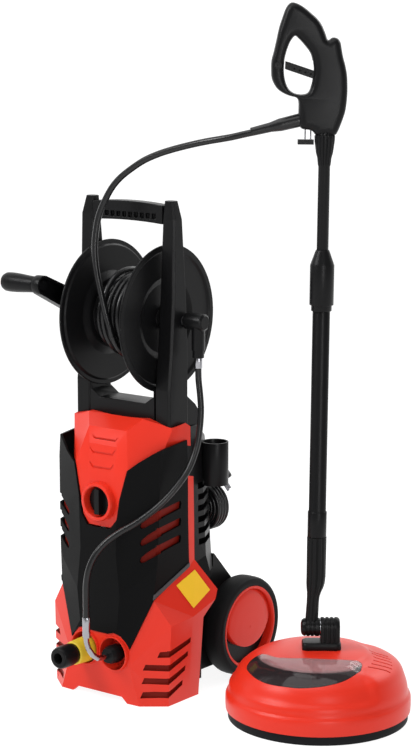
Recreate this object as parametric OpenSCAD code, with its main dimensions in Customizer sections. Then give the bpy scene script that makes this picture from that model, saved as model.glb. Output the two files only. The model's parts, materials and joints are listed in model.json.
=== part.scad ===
// Electric pressure washer with hose reel, trigger gun, lance and rotary surface cleaner.
// Millimetres. The machine stands on z = 0 and its front faces -Y. The modules are drawn with the
// machine's mirror plane at x = 0.

/* [Wheels] */
// Radius of the tyre tread
tyre_r = 90; // [86:1:94]
// Width of the tyre
tyre_w = 42; // [36:1:44]
// Outer face of the wheel, from the middle plane
wheel_out = 135.2; // [134:0.2:138]

/* [Hose reel] */
// Radius of the reel flanges
flange_r = 127.7; // [120:0.1:130]
// Radius of the winding drum
drum_r = 53; // [48:1:56]
// Outer radius of the hose wound on the drum
wound_r = 73; // [66:1:74]
// Radius of the hand crank
crank_throw = 130; // [110:1:134]

/* [Hoses] */
// Outer diameter of the high pressure hose
hose_d = 10; // [9:0.5:10]
// Outer diameter of the mains cord
cord_d = 8; // [7:0.5:8]

/* [Casing] */
// Wall of the moulded casing
wall = 3; // [2.5:0.5:3.5]
// Parting gap between casing mouldings
gap = 0.5; // [0.4:0.1:0.8]
// Inner radius of the two recesses in the front
recess_r = 28; // [26:1:29]

/* [Surface cleaner] */
// Outer radius of the hood
hood_r = 157; // [150:1:160]
// Height of the hood over the floor
hood_top = 120; // [115:1:122]

/* [Lance and gun] */
// Outer radius of the upper lance tube
lance_r = 9.7; // [9:0.1:10.5]
// Outer radius of the lower, fluted lance tube
lower_r = 14.5; // [13:0.5:15]

/* [Hidden] */
$fn = 48;

tyre_inner_r = 74;
axle_r = 8;
axle_y = 108.3;
axle_z = 90;
wheel_in = wheel_out - tyre_w;

reel_y = -42.7;
reel_z = 661.6;
reel_bore = 10;
crank_x = -109;
crank_lift = 25;
crank_boss_y = reel_y - crank_throw * cos(crank_lift);
crank_boss_z = reel_z + crank_throw * sin(crank_lift);

port_x = 32.1;
recess_z = 84.3;
port_z = 81;
inlet_r = 9.5;
recess_front = -155;
knob_z = 350;

head_x = 357;
head_y = 1.4;
head_turn = 37.75;
hinge_z = 156;
eye_u = -16;
lance_u = -6;
lance_lean = 0.6;

red = "tomato";
black = [0.13, 0.13, 0.14];
steel = "silver";
yellow = [0.92, 0.84, 0.2];

// ---------- shared geometry ----------

// Half outlines of the casing, from the front middle over the side to the back middle.
// Each ring is a list of [x, y, z] and the rings are stacked upwards.
function rings() = [
  [[0, -151, 0], [88.9, -150.4, 0], [128, -119.5, 0], [128, -45, 0], [126, 8, 0], [95, 52, 0], [0, 56, 0]],
  [[0, -151, 100], [88, -150.4, 100], [128, -118.5, 100], [128.5, -45, 104], [128, 8, 108], [95, 52, 108], [0, 56, 108]],
  [[0, -151, 143], [84, -149, 143], [133, -117.5, 143], [137, -45, 151], [139, 8, 162], [96, 52, 162], [0, 56, 162]],
  [[0, -150, 186], [74, -147, 186], [103, -128, 186], [111.5, -45, 226], [113, 8, 240], [90, 52, 240], [0, 56, 240]],
  [[0, -149, 320], [62, -146, 320], [107, -121, 320], [113, -50, 320], [111, 5, 320], [86, 50, 320], [0, 54, 320]],
  [[0, -145, 412], [58.8, -141, 412], [111, -119.5, 412], [114, -52, 412], [109, 2, 412], [84, 48, 412], [0, 52, 412]],
  [[0, -136, 449], [60, -126, 449], [112.5, -118, 449], [115, -52, 457], [108, 0, 452], [82, 44, 446], [0, 48, 446]],
  [[0, -125, 474], [60.7, -112, 476], [111.5, -88, 472], [113, -48, 474], [106, -4, 472], [78, 30, 466], [0, 34, 466]],
  [[0, -92, 490], [61.4, -103, 494], [110, -82, 480], [111, -40, 480], [104, -10, 478], [74, 14, 476], [0, 18, 476]]];

// Moves a ring point out (off > 0) or in (off < 0) along the plan radius.
function grown(p, off) = let (c = [0, -50], d = [p[0], p[1]] - c, n = norm(d))
  [p[0] + d[0] / n * off, p[1] + d[1] / n * off, p[2]];

function full_ring(half) = concat(half, [for (i = [len(half) - 2:-1:1]) [-half[i][0], half[i][1], half[i][2]]]);

function band_faces(n, k) = [for (i = [0:n - 1]) each
  [[k * n + i, k * n + (i + 1) % n, (k + 1) * n + i], [k * n + (i + 1) % n, (k + 1) * n + (i + 1) % n, (k + 1) * n + i]]];

// Closed solid through a stack of rings, each cap a fan to its own middle point.
module loft(stack, low, high) {
  n = len(stack[0]);
  m = len(stack);
  pts = concat([for (r = stack) each r], [low, high]);
  sides = [for (k = [0:m - 2]) each band_faces(n, k)];
  under = [for (i = [0:n - 1]) [(i + 1) % n, i, m * n]];
  over = [for (i = [0:n - 1]) [(m - 1) * n + i, (m - 1) * n + (i + 1) % n, m * n + 1]];
  polyhedron(pts, [for (f = concat(sides, under, over)) [f[2], f[1], f[0]]], convexity = 6);
}

// Outer surface of the casing moved by off; the inner one also drops its top by the wall.
module casing(off, drop = 0) {
  stack = [for (r = rings()) full_ring([for (p = r) let (q = grown(p, off)) [q[0], q[1], q[2] - drop]])];
  loft(stack, [0, -40, -drop], [0, -40, 478 - drop]);
}

module skin(off_out, off_in) {
  difference() {
    casing(off_out);
    casing(off_in, wall);
    translate([-90, -120, -4]) cube([180, 140, 20]);
  }
}

// Prisms with an outline in the front view (x, z) or the side view (y, z).
module front_prism(pts, y0, y1) {
  translate([0, y1, 0]) rotate([90, 0, 0]) linear_extrude(y1 - y0) polygon(pts);
}
module side_prism(pts, x0, x1) {
  multmatrix([[0, 0, 1, x0], [1, 0, 0, 0], [0, 1, 0, 0], [0, 0, 0, 1]]) linear_extrude(x1 - x0) polygon(pts);
}
module both_sides() {
  children();
  mirror([1, 0, 0]) children();
}
module along_x(x0, x1, r) {
  translate([x0, 0, 0]) rotate([0, 90, 0]) cylinder(r = r, h = x1 - x0);
}
module along_y(y0, y1, r) {
  translate([0, y1, 0]) rotate([90, 0, 0]) cylinder(r = r, h = y1 - y0);
}
// Turned part about the X axis from a profile of [radius, x].
module turned_x(profile) {
  rotate([0, 90, 0]) rotate_extrude() polygon(profile);
}
module turned_y(profile) {
  rotate([-90, 0, 0]) rotate_extrude() polygon(profile);
}

// Tube swept along a list of points.
function unit(v) = v / norm(v);
function tangent(p, i) = unit(p[min(i + 1, len(p) - 1)] - p[max(i - 1, 0)]);
function side_of(t) = unit(cross(t, abs(t[2]) < 0.9 ? [0, 0, 1] : [0, 1, 0]));
function carried(p, i) = i == 0 ? side_of(tangent(p, 0))
  : let (t = tangent(p, i), s = carried(p, i - 1)) unit(s - t * (s * t));
module sweep(p, r, n = 10) {
  pts = [for (i = [0:len(p) - 1]) let (t = tangent(p, i), s = carried(p, i), b = cross(t, s))
    each [for (k = [0:n - 1]) p[i] + r * (cos(360 * k / n) * s + sin(360 * k / n) * b)]];
  m = len(p);
  faces = [for (k = [0:m - 2]) each band_faces(n, k)];
  caps = [[for (k = [n - 1:-1:0]) k], [for (k = [0:n - 1]) (m - 1) * n + k]];
  polyhedron(pts, [for (f = concat(faces, caps)) [for (i = [len(f) - 1:-1:0]) f[i]]], convexity = 8);
}

// ---------- casing mouldings ----------

shell_back = [[-300, -10], [-33, -10], [-33, 15], [-21, 137], [7, 174], [7, 182], [-28, 240], [-29, 306],
  [-50, 386], [-52, 396], [-300, 396]];

module panel_zone(g = 0) {
  low = [[0, 118], [18, 118], [32, 122], [48, 118], [58, 108], [65.5, 97], [103, 187 - g / 2]];
  high = [[103, 443], [58.8, 412], [43, 366], [39, 330], [24, 306], [0, 306]];
  side = [[-140, 180], [-128, 186], [-47, 225], [-47, 300], [-50, 386], [-51, 457], [-118, 449], [-140, 446]];
  both_sides() front_prism(concat([for (p = low) p - [0, g]], [for (p = high) p + [0, g]]), -220, -60);
  both_sides() side_prism([for (p = side) p + [g, p[1] > 300 ? g : -g]], 102.9, 150);
}

module recess_bore(x, extra = 0) {
  translate([x, 0, recess_z]) along_y(-170, -112, recess_r + extra);
}

module lower_shell() {
  color(red) difference() {
    union() {
      difference() {
        intersection() {
          skin(0, -wall);
          side_prism(shell_back, -200, 200);
        }
        panel_zone(gap);
        translate([-200, -300, 398]) cube([400, 400, 200]);
        translate([-200, -300, 300]) cube([400, 220, 100]);
        for (x = [-port_x, port_x]) recess_bore(x, 2.5);
      }
      for (x = [-port_x, port_x]) translate([x, 0, recess_z]) turned_y([
        [recess_r, recess_front], [recess_r + 3, recess_front], [recess_r + 3, -118],
        [16, -118], [16, -121], [recess_r, -121]]);
    }
    front_prism([[-66, -5], [66, -5], [50, 10], [-50, 10]], -200, -100);
    for (s = [-1, 1], row = [0:2]) louvre(s, 104 - 20 * row, row);
  }
}

// One chevron louvre that wraps the front corner of the casing.
module louvre(s, z, row) {
  scale([s, 1, 1]) translate([128, -112, z]) {
    rotate([0, 0, 37]) rotate([0, -6, 0]) translate([-10, -30 - row * 4, 0]) cube([30, 30 + row * 4, 6]);
    rotate([14, 0, 0]) translate([-12, 0, 0]) cube([30, 42, 6]);
  }
}

module front_panel() {
  color(black) difference() {
    intersection() {
      skin(2, -1.5);
      panel_zone();
    }
    for (x = [-port_x, port_x]) recess_bore(x, 8);
    for (row = [0:2]) both_sides() side_slot(268 + 36 * row);
  }
}

// Slanted cooling slot round the front corner of the black panel.
module side_slot(z) {
  translate([107, -120, z]) {
    rotate([24, 0, 0]) translate([-15, 0, 0]) cube([30, 46, 13]);
    rotate([0, 0, 31]) rotate([0, 28, 0]) translate([-30, -10, 0]) cube([32, 20, 13]);
  }
}

module top_cover() {
  color(red) difference() {
    union() {
      difference() {
        skin(0, -wall);
        panel_zone(gap);
        translate([-200, -200, -10]) cube([400, 400, 316.5]);
        translate([-200, -53, -10]) cube([400, 200, 467]);
        translate([-200, -34, 440]) cube([400, 200, 100]);
        translate([-111.5, -53 - gap, -10]) cube([223, 200, 600]);
        translate([-106, -87, 400]) cube([212, 200, 200]);
        side_prism([[-300, 300], [-118, 300], [-118, 449.5], [-53, 457.5], [-20, 457.5], [-20, 300]], 103.4, 160);
        side_prism([[-300, 300], [-118, 300], [-118, 449.5], [-53, 457.5], [-20, 457.5], [-20, 300]], -160, -103.4);
        translate([0, 0, knob_z]) along_y(-200, -100, 30);
      }
      translate([0, 0, knob_z]) turned_y([[27, -158], [31, -158], [33.5, -156], [34, -144], [30, -132],
        [14, -132], [14, -135], [27, -135]]);
    }
    for (row = [0:2]) nose_groove(446 - 18 * row, 30 - 2.5 * row);
  }
}

// Shallow chevron groove pressed into the nose of the top cover.
module nose_groove(z, half) {
  front_prism([[-half, z + 8], [-half + 2, z + 8.5], [-half + 10, z + 1.5], [half - 10, z + 1.5],
    [half - 2, z + 8.5], [half, z + 8], [half - 9, z], [-half + 9, z]],
    -170, -134 - (446 - z) * 0.24);
}

module rear_shell() {
  color(black) difference() {
    intersection() {
      difference() {
        casing(-1.5);
        casing(-1.5 - wall, wall);
      }
      translate([-200, -100, 205]) cube([400, 200, 271]);
    }
    side_prism([[-300, 100], [6, 100], [7 + gap, 174], [7 + gap, 182], [-28 + gap, 240 + gap],
      [-29 + gap, 306], [-50 + gap, 386], [-51 + gap, 457.5], [-34, 457.5], [-34, 600], [-300, 600]], -200, 200);
    translate([-200, -200, 476]) cube([400, 400, 50]);
    for (row = [0:5]) both_sides() translate([98, 28, 262 + 20 * row])
      rotate([0, 0, -60]) translate([-20, -12, 0]) cube([62, 24, 11]);
    for (row = [0:6]) translate([-55, 30, 270 + 22 * row]) cube([110, 40, 7]);
    translate([-62, 30, 246]) rotate([-90, 0, 0]) cylinder(r = 7, h = 40);
  }
  color(black) difference() {
    translate([-100, -86, 473]) cube([200, 92, 3]);
    translate([-120, -100, 440]) cube([240, 13, 60]);
  }
}

chassis_side = [[-18, 22], [132, 22], [146, 60], [140, 130], [118, 168], [62, 228], [58, 228], [58, 204.5], [-18, 204.5]];
module base_chassis() {
  color(black) difference() {
    union() {
      side_prism(chassis_side, -88, 88);
      translate([-121, -22, 24]) cube([242, 4, 166]);
      both_sides() translate([40, -34, 62]) cube([16, 12.5, 40]);
    }
    side_prism([for (p = [[-14, 18], [128, 18], [142, 60], [136, 128], [115, 165], [58, 222], [54, 222],
      [54, 201], [-14, 201]]) p], -84.5, 84.5);
    translate([-36, -30, 40]) cube([72, 30, 125]);
    translate([0, -66, 165]) cylinder(r = 53, h = 60);
    translate([-60, -10, 190]) cube([120, 60, 30]);
    translate([0, axle_y, axle_z]) along_x(-100, 100, axle_r + 0.05);
  }
}

// ---------- running gear ----------

module axle() {
  color(steel) translate([0, axle_y, axle_z]) along_x(-129, 129, axle_r);
}

module tyre() {
  color(black) turned_x([[tyre_inner_r, wheel_in + 3], [tyre_inner_r, wheel_out - 1], [82, wheel_out],
    [87, wheel_out - 2], [tyre_r - 0.6, wheel_out - 8], [tyre_r, wheel_out - 14], [tyre_r, wheel_in + 14],
    [tyre_r - 0.6, wheel_in + 8], [87, wheel_in + 2], [82, wheel_in]]);
}

module rim() {
  color(red) turned_x([[axle_r + 0.05, wheel_in + 1], [17, wheel_in + 1], [17, 112], [66, 112],
    [66, wheel_in + 4], [tyre_inner_r, wheel_in + 4], [tyre_inner_r, wheel_out - 0.5], [71, wheel_out - 0.5],
    [68.5, wheel_out - 3], [68.5, 118], [17, 118], [17, 124.5], [axle_r + 0.05, 124.5]]);
}

module hubcap() {
  color(red) intersection() {
    turned_x([[17.5, 118], [68, 118], [68, 127], [60, 130.5], [45, 132.6], [25, 133.8], [0, 134.2],
      [0, 131], [17.5, 130.5]]);
    translate([0, 0, 30]) along_x(100, 150, 66);
  }
}

module at_axle() {
  translate([0, axle_y, axle_z]) children();
}

// ---------- frame ----------

function post_ring(z, x0, x1, y0, y1, c) = [[x0 + c, y0, z], [x1 - c, y0, z], [x1, y0 + c, z], [x1, y1 - c, z],
  [x1 - c, y1, z], [x0 + c, y1, z], [x0, y1 - c, z], [x0, y0 + c, z]];

module upright() {
  color(black) difference() {
    union() {
      loft([post_ring(476, 72, 105, -86, -32, 4), post_ring(545, 72, 105, -86, -32, 4),
        post_ring(610, 72, 105, -79, -32, 4), post_ring(700, 73, 105, -73, -36, 4),
        post_ring(835, 77, 104, -70, -45, 4), post_ring(866, 77.5, 97, -66, -48, 4)],
        [88, -60, 476], [87, -57, 866]);
      side_prism([[-36, 476], [10, 476], [10, 482], [-12, 512], [-36, 530]], 92, 104);
    }
    translate([0, reel_y, reel_z]) along_x(60, 120, reel_bore + 0.05);
  }
}

module lower_crossbar() {
  color(black) difference() {
    front_prism([[-72, 476], [72, 476], [72, 545], [69.2, 545], [69.2, 531], [50, 518],
      [-50, 518], [-69.2, 531], [-69.2, 545], [-72, 545]], -86, -32);
    translate([-66, -82, 470]) cube([132, 46, 40]);
  }
}

grip_bow = 4;
module top_grip() {
  top = [for (t = [-1:0.25:1]) [t * 76.7, 858 + grip_bow * (1 - t * t)]];
  low = [for (t = [1:-0.25:-1]) [t * 76.7, 829 - 3 * t * t]];
  color(black) difference() {
    front_prism(concat(low, top), -69, -47);
    for (i = [-4:5]) translate([i * 13 - 11, -72, 834]) cube([9, 9, 9]);
  }
}

// ---------- reel ----------

module at_reel() {
  translate([0, reel_y, reel_z]) children();
}

module reel_axle() {
  color(steel) at_reel() difference() {
    along_x(-124, 127, reel_bore);
    along_x(40, 130, 5);
  }
}

// One flange with its hub and half of the winding drum.
module reel_half() {
  color(black) at_reel() {
    turned_x([[reel_bore, 46], [20, 46], [20, 54], [drum_r - 3, 54], [drum_r - 3, 0.2], [drum_r, 0.2],
      [drum_r, 54], [62, 54], [74, 61], [117, 61], [120, 64], [flange_r - 1, 64],
      [flange_r, 65], [flange_r, 67.5], [flange_r - 1, 68.2], [118, 68.2], [115, 64.5], [72, 64.5], [60, 58],
      [20, 58], [20, 68], [reel_bore, 68]]);
  }
}

module wound_hose() {
  color(black) at_reel() turned_x([[drum_r, -50], [wound_r, -50], [wound_r, 12], [wound_r + 10, 12.5],
    [wound_r + 10, 42], [wound_r, 42.5], [wound_r, 50], [drum_r, 50]]);
}

// Tapered arm outline in the (y, z) plane, from the hub to the grip boss.
module arm_outline(inset) {
  d = [crank_boss_y - reel_y, crank_boss_z - reel_z];
  n = [-d[1], d[0]] / norm(d);
  translate([reel_y, reel_z]) circle(r = 21 - inset);
  translate([crank_boss_y, crank_boss_z]) circle(r = 17 - inset);
  polygon([[reel_y, reel_z] + n * (21 - inset), [reel_y, reel_z] - n * (21 - inset),
    [crank_boss_y, crank_boss_z] - n * (17 - inset), [crank_boss_y, crank_boss_z] + n * (17 - inset)]);
}

module x_extrude(x0, x1) {
  multmatrix([[0, 0, 1, x0], [1, 0, 0, 0], [0, 1, 0, 0], [0, 0, 0, 1]]) linear_extrude(x1 - x0) children();
}

module crank_arm() {
  color(black) difference() {
    union() {
      difference() {
        x_extrude(crank_x - 16, crank_x) arm_outline(0);
        x_extrude(crank_x - 12, crank_x + 1) arm_outline(4);
      }
      at_reel() along_x(crank_x - 12, crank_x, 16);
      translate([0, crank_boss_y, crank_boss_z]) along_x(crank_x - 12, crank_x - 3, 9);
      translate([0, crank_boss_y, crank_boss_z]) along_x(-203, crank_x - 12, 5);
    }
    at_reel() along_x(-124, -100, reel_bore);
  }
}

module crank_grip() {
  color(black) translate([0, crank_boss_y, crank_boss_z]) turned_x([[5.05, -205], [5.05, -126], [13, -126], [13.5, -134],
    [12.5, -142], [15, -160], [17.5, -185], [17.5, -200], [15, -206], [9, -209], [0, -209.5], [0, -205]]);
}

module swivel_elbow() {
  color(black) at_reel() difference() {
    union() {
      turned_x([[0, 108], [12, 108], [14.5, 111], [14.5, 146], [11, 149], [0, 149]]);
      translate([134, 0, -48]) cylinder(r = 11.5, h = 48);
      translate([134, 0, -61]) cylinder(r = 10, h = 14);
    }
    along_x(107, 128, reel_bore + 0.05);
    translate([134, 0, -62]) cylinder(r = 4.5, h = 50);
  }
}

module hose_ferrules() {
  color(steel) {
    at_reel() translate([134, 0, -79]) difference() {
      cylinder(r = 6.8, h = 18);
      translate([0, 0, -1]) cylinder(r = hose_d / 2, h = 10);
    }
    translate([31, -221, 130]) difference() {
      cylinder(r = 6.8, h = 36);
      translate([0, 0, 26]) cylinder(r = hose_d / 2, h = 11);
    }
  }
}

// Route of the hose from the reel swivel down to the outlet.
connect_route = [[134, -42.7, 591.5], [134, -42.7, 576], [135, -43, 560], [139, -44, 535], [143, -47, 510], [145, -53, 480],
  [145, -62, 448], [142, -80, 414], [135, -102, 388], [125, -121, 367], [110, -141, 346], [91, -161, 327],
  [71, -178, 312], [53, -195, 294], [41, -208, 273], [34, -216, 250], [31, -220, 224], [31, -221, 198], [31, -221, 176],
  [31, -221, 156]];

module connecting_hose() {
  color(black) sweep(connect_route, hose_d / 2);
}

module outlet_tube() {
  color(steel) sweep([[31, -221, 130], [31, -221, 123], [31.3, -217, 110], [32, -207, 96], [32.1, -194, 87],
    [32.1, -181, 84.3], [32.1, -168, 84.3]], 5, 12);
}

module outlet_nut() {
  color(black) translate([port_x, 0, recess_z]) turned_y([[0, -117], [12, -117], [12, -140], [16, -142],
    [16, -160], [13, -168], [0, -168]]);
}

// ---------- water inlet ----------

module connector_body() {
  color(black) translate([-port_x, 0, port_z]) turned_y([[4, -117], [12, -117], [12, -128], [17, -130], [17, -188],
    [18.6, -190], [19.5, -196], [19.5, -216], [18, -222], [16, -224], [inlet_r, -224], [inlet_r, -200], [4, -198]]);
}

module release_collar() {
  color(yellow) translate([-port_x, 0, port_z]) turned_y([[17.1, -138], [21, -138], [22.5, -142], [22, -160],
    [20.6, -184], [19.4, -186], [17.1, -186]]);
}

// ---------- pump, motor and electrics ----------

module pump_head() {
  color([0.6, 0.6, 0.62]) difference() {
    union() {
      translate([-58, -100, 58]) cube([116, 66, 50]);
      for (x = [-port_x, port_x]) translate([x, 0, x > 0 ? recess_z : port_z]) along_y(-117, -100, 12);
      for (a = [90:120:330]) translate([22 * cos(a), -66 + 22 * sin(a), 108]) cylinder(r = 9, h = 20);
    }
    for (x = [-port_x, port_x]) translate([x, 0, x > 0 ? recess_z : port_z]) along_y(-118, -90, 4);
    for (a = [90:120:330]) translate([22 * cos(a), -66 + 22 * sin(a), 80]) cylinder(r = 6.05, h = 60);
  }
}

module pump_pistons() {
  color(steel) for (a = [90:120:330]) translate([22 * cos(a), -66 + 22 * sin(a), 95]) cylinder(r = 6, h = 44);
}

module gear_case() {
  color([0.6, 0.6, 0.62]) translate([0, -66, 0]) difference() {
    translate([0, 0, 128]) cylinder(r = 46, h = 42);
    translate([0, 0, 127]) cylinder(r = 34, h = 38);
    translate([0, 0, 150]) cylinder(r = 8.05, h = 30);
  }
}

module motor_housing() {
  color([0.3, 0.3, 0.32]) translate([0, -66, 0]) difference() {
    union() {
      translate([0, 0, 170]) cylinder(r = 52, h = 120);
      translate([0, 0, 290]) cylinder(r = 44, h = 18);
    }
    translate([0, 0, 176]) cylinder(r = 47, h = 108);
    translate([0, 0, 160]) cylinder(r = 8.05, h = 170);
  }
}

module motor_shaft() {
  color(steel) translate([0, -66, 0]) {
    translate([0, 0, 148]) cylinder(r = 8, h = 168);
    translate([0, 0, 180]) cylinder(r = 30, h = 92);
    translate([0, 0, 316]) cylinder(r = 40, h = 5);
    for (a = [0:45:315]) rotate([0, 0, a]) translate([12, -1, 320]) cube([26, 2, 11]);
    translate([0, 0, 142]) cylinder(r = 30, h = 6);
  }
}

module switch_box() {
  color(black) difference() {
    translate([-30, -128, 334]) cube([60, 50, 34]);
    translate([-27, -125, 337]) cube([54, 44, 28]);
    translate([0, 0, knob_z]) along_y(-131, -124, 6.05);
  }
}

module switch_knob() {
  color(black) translate([0, 0, knob_z]) {
    along_y(-145, -137, 24);
    along_y(-137, -126, 6);
    translate([-5, -156, -22]) cube([10, 11, 44]);
  }
}

// ---------- back of the machine ----------

cup_at = [118, 25, 366];
module nozzle_holder() {
  color(black) difference() {
    translate(cup_at) {
      cylinder(r = 23.5, h = 76);
      rotate([0, 0, -152]) translate([0, -7, 8]) cube([32, 14, 60]);
    }
    translate(cup_at + [0, 0, 4]) cylinder(r = 21, h = 80);
    casing(-1.5);
  }
}

hank_z = 306;
hank_y = 66;
hank_half = 50;
module stadium(r) {
  for (s = [-1, 1]) translate([s * hank_half, 0]) circle(r = r);
  translate([-hank_half, -r]) square([2 * hank_half, 2 * r]);
}

module cable_hooks() {
  color(black) for (s = [-1, 1]) translate([s * 44, 0, hank_z]) {
    translate([-12, 53, -10]) cube([24, 57, 20]);
    translate([-12, 104, -18]) cube([24, 6, 36]);
  }
}

module cord_hank() {
  color(black) translate([0, hank_y + 34, hank_z]) rotate([90, 0, 0]) linear_extrude(34) difference() {
    stadium(44);
    stadium(20);
  }
}

module cable_gland() {
  color(black) translate([-62, 0, 246]) turned_y([[cord_d / 2, 48], [7, 48], [7, 54], [9.5, 54], [9.5, 58], [6.5, 60], [5, 72],
    [cord_d / 2, 72]]);
}

gland_tail = [[-62, 50, 246], [-62, 62, 246], [-62, 72, 246], [-60, 83, 246.5], [-54, 93, 248], [-45, 100, 250],
  [-33, 103, 252.5], [-20, 101.5, 256.5]];
plug_face = [87, 91, 356];
plug_lean = 32;
plug_turn = 28;
plug_axis = [sin(plug_lean) * cos(plug_turn), sin(plug_lean) * sin(plug_turn), -cos(plug_lean)];
plug_tail = [[20, 72, 354.3], [10, 73, 362], [3, 73, 373], [3, 73, 386], [9, 73, 398], [20, 73, 409],
  [34, 73, 414.5], [47, 74, 414], [55.5, 75.5, 408], plug_face - 56 * plug_axis, plug_face - 52 * plug_axis];
module cord_gland_tail() {
  color(black) sweep(gland_tail, cord_d / 2, 8);
}
module cord_plug_tail() {
  color(black) sweep(plug_tail, cord_d / 2, 8);
}

// Round two pin plug, its nose pointing down and outwards beside the hank.
module at_plug() {
  translate(plug_face) rotate([0, 180 - plug_lean, plug_turn]) children();
}
module mains_plug() {
  at_plug() {
    color(black) rotate_extrude() polygon([[0, 0], [0, -52], [5.5, -52], [7, -30], [12, -26], [16.5, -16],
      [17.5, -3], [16.5, 0]]);
    color(steel) for (s = [-1, 1]) translate([0, s * 9.5, 0]) cylinder(r = 2.4, h = 19);
  }
}

// ---------- free hose ----------

free_route = [[6, -120, 644], [-3, -122, 668], [-9, -123, 690], [-14, -124, 712], [-20, -125, 738], [-24, -125, 762],
  [-26, -124, 786], [-25, -122, 811], [-21, -119, 837], [-12, -115, 862], [2, -111, 887], [18, -107, 905],
  [40, -104, 921], [66, -102, 936], [93, -100, 947], [119, -99, 955], [146, -98, 962], [172, -97, 968],
  [196, -95, 973], [218, -91, 977], [238, -85, 981], [253, -78, 985], [262, -71.8, 987.4]];

module free_hose() {
  color(black) sweep(free_route, hose_d / 2);
}

// ---------- surface cleaner ----------

module at_head() {
  translate([head_x, head_y, 0]) rotate([0, 0, head_turn]) children();
}

module hood_shell() {
  rotate_extrude() polygon([[hood_r, 16], [hood_r, 43], [hood_r - 4, 47], [hood_r - 6, 60], [138, 82], [122, 98],
    [102, 110], [70, hood_top - 2], [16, hood_top], [16, hood_top - wall], [70, hood_top - wall - 2],
    [100, 107], [119, 96], [135, 80], [hood_r - 9, 58], [hood_r - 7, 45], [hood_r - 3, 42], [hood_r - 3, 16]]);
}

// Prism over the clear window in the front of the hood.
window_edge = concat([for (t = [-82:12.4:-20]) [132 * sin(t), -132 * cos(t)]],
  [for (t = [-8, 4, 16, 28, 40]) [(128 - t * 0.3) * sin(t), -(128 - t * 0.3) * cos(t)]], [[74, -62], [-66, -62]]);
module window_zone(shrink = 1) {
  middle = [-55, -85];
  linear_extrude(200) polygon([for (p = window_edge) middle + (p - middle) * shrink]);
}

module cleaner_hood() {
  color(red) at_head() difference() {
    hood_shell();
    window_zone();
  }
}

module cleaner_window() {
  color([0.25, 0.25, 0.27]) at_head() intersection() {
    hood_shell();
    window_zone(0.97);
  }
}

module cleaner_skirt() {
  color(black) at_head() rotate_extrude() polygon([[hood_r - 10, 0], [hood_r - 4, 0], [hood_r - 3.2, 16],
    [hood_r - 3.2, 34], [hood_r - 12, 34], [hood_r - 12, 16]]);
}

module cleaner_knuckle() {
  color(black) at_head() difference() {
    union() {
      translate([-28, -20, hood_top]) cube([66, 40, 12]);
      translate([3, -17, hood_top + 11]) cube([33, 34, 25]);
      translate([0, 0, hinge_z]) along_x(3, 36, 17);
      translate([0, 0, 58]) cylinder(r = 15.8, h = hood_top - 57);
    }
    translate([0, 0, 57]) cylinder(r = 8.05, h = 33);
    translate([0, 0, hinge_z]) along_x(-30, 30.3, 6.05);
    translate([0, 0, hinge_z]) along_x(-40, 2.7, 19);
  }
}

module spray_rotor() {
  color(steel) at_head() {
    translate([0, 0, 40]) cylinder(r = 8, h = 46);
    translate([0, 0, 36]) cylinder(r = 13, h = 18);
    translate([0, 0, 46]) along_x(-112, 112, 4.5);
    for (s = [-1, 1]) translate([s * 112, 0, 34]) cylinder(r = 7, h = 20);
  }
}

// ---------- lance ----------

module at_hinge() {
  at_head() translate([0, 0, hinge_z]) children();
}
module at_lance() {
  at_hinge() translate([lance_u, 0, 0]) rotate([0, lance_lean, 0]) children();
}
function up(z) = z - hinge_z;

module lance_foot() {
  color(black) {
    at_hinge() {
      along_x(-30, 2, 15.5);
      along_x(2, 30, 6);
    }
    sweep_foot();
    at_lance() translate([0, 0, up(232)]) cylinder(r1 = 8, r2 = 15, h = 82);
  }
}

// Bent neck between the eye and the straight lance.
module sweep_foot() {
  at_hinge() sweep([[eye_u, 0, 0], [eye_u + 1, 0, 22], [eye_u + 5, 0, 46], [lance_u + 0.3, 0, 66],
    [lance_u + 0.8, 0, 78]], 8, 16);
}

module lance_lower() {
  color(black) at_lance() difference() {
    union() {
      translate([0, 0, up(314)]) cylinder(r = 16, h = 43);
      translate([0, 0, up(357)]) cylinder(r = lower_r, h = 339);
    }
    translate([0, 0, up(250)]) cylinder(r = 4, h = 500);
  }
}

module lance_coupling() {
  color(black) at_lance() difference() {
    union() {
      translate([0, 0, up(696)]) cylinder(r = 17, h = 10);
      translate([0, 0, up(706)]) cylinder(r = 20, h = 66);
      translate([0, 0, up(772)]) cylinder(r1 = 20, r2 = 11, h = 25);
    }
    translate([0, 0, up(690)]) cylinder(r = 4, h = 60);
    translate([0, 0, up(740)]) cylinder(r = lance_r, h = 70);
  }
}

module lance_upper() {
  color(black) at_lance() difference() {
    union() {
      translate([0, 0, up(740)]) cylinder(r = lance_r, h = 201);
      translate([0, 0, up(941)]) cylinder(r1 = 9.8, r2 = 15.5, h = 43);
    }
    translate([0, 0, up(735)]) cylinder(r = 4, h = 260);
  }
}

gun_outline = [[-58, 1196], [-66, 1188], [-77, 1156], [-85, 1118], [-89, 1092], [-88, 1075], [-79, 1060], [-65, 1049],
  [-44, 1044], [-43, 1001], [-35, 993], [-22, 995], [-16, 984], [18, 984], [28, 1009], [34, 1036], [35, 1062],
  [34, 1084], [27, 1110], [22, 1134], [17, 1140], [9, 1141], [2, 1137], [-9, 1162], [-24, 1178], [-45, 1194]];
gun_window = [[-51, 1143], [-59, 1134], [-67, 1108], [-68, 1086], [-65, 1068], [-57, 1055], [-39, 1049], [-28, 1052],
  [-23, 1071], [-20, 1087], [-22, 1102], [-26, 1116], [-36, 1129]];

gun_half_w = 16;
trigger_pivot = [-12, 1080];
lock_at = [-78, 1096];
sleeve_start = [-34, 0, 1010];

module at_gun() {
  at_lance() translate([0, 0, -hinge_z]) children();
}

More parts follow.
